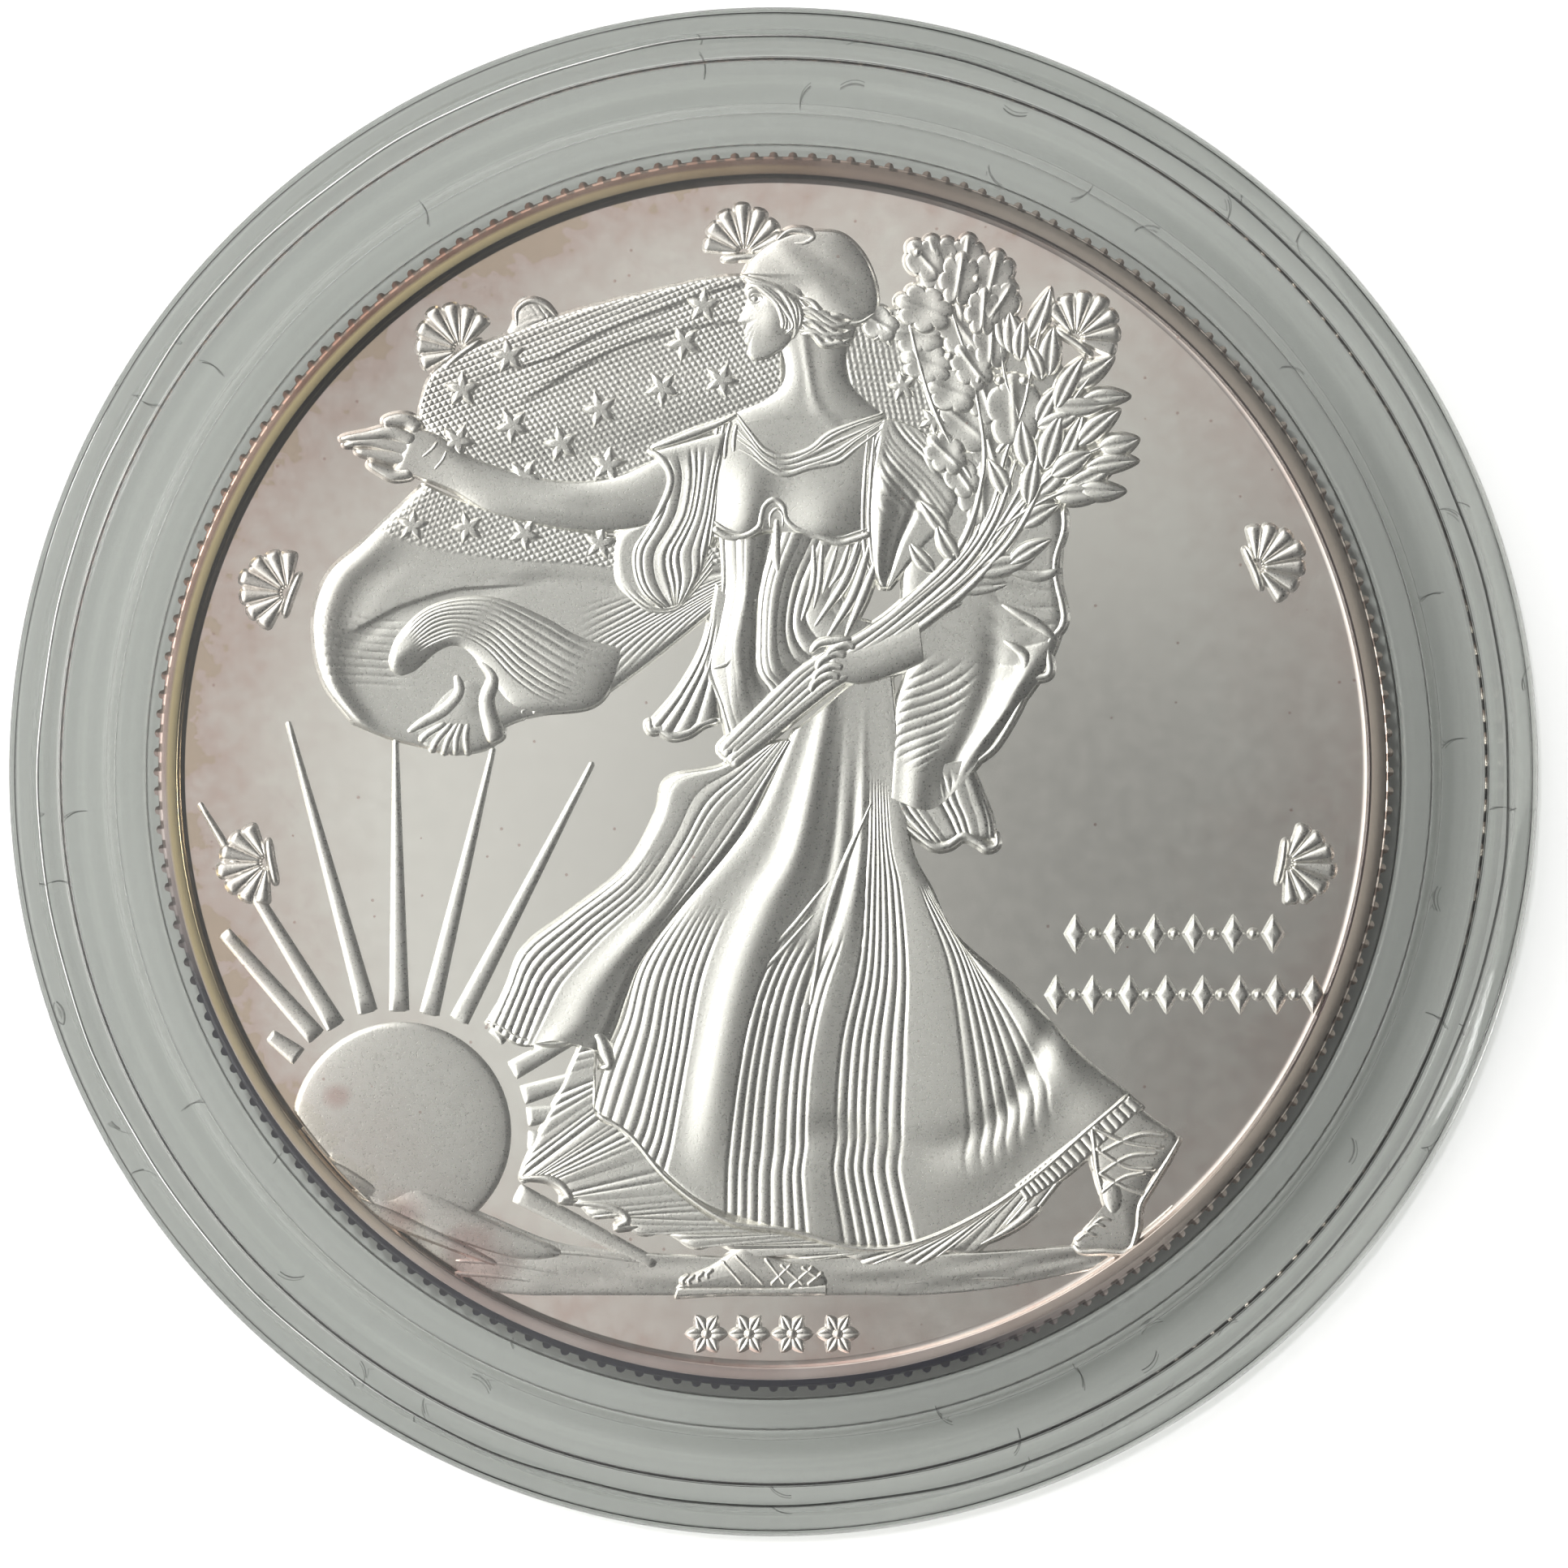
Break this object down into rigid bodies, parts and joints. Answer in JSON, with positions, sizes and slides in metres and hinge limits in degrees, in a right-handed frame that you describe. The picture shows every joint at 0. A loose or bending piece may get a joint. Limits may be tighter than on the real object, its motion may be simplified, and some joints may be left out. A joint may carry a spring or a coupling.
{
  "type": "coin capsule",
  "caption": "Round clear two-part coin capsule: a base with a seat ring and groove, a lid whose skirt plugs into it, and the reeded coin it holds.",
  "frame": {"origin": "centre of the capsule's underside, in the plane it stands on", "axes": "+Z is the capsule's axis, from the base to the lid; +Y is towards the top of the coin's upright design and +X is to its right"},
  "size_m": [0.05, 0.05, 0.0062],
  "materials": {
    "clear_base": "gloss",
    "clear_lid": "gloss",
    "coin_silver": "polished"
  },
  "bodies": {
    "base": {"base_shell": "clear_base"},
    "lid": {"lid_shell": "clear_lid"},
    "held_coin": {"coin": "coin_silver"}
  },
  "joints": [
    {"name": "lid_lift", "type": "slide", "parent": "base", "child": "lid", "axis": [0, 0, 1], "range_m": [0, 0.04]},
    {"name": "coin_lift", "type": "slide", "parent": "base", "child": "held_coin", "axis": [0, 0, 1], "range_m": [0, 0.02]}
  ],
  "couplings": [
    {"joint": "coin_lift", "follows": "lid_lift", "ratio": 0.5}
  ]
}
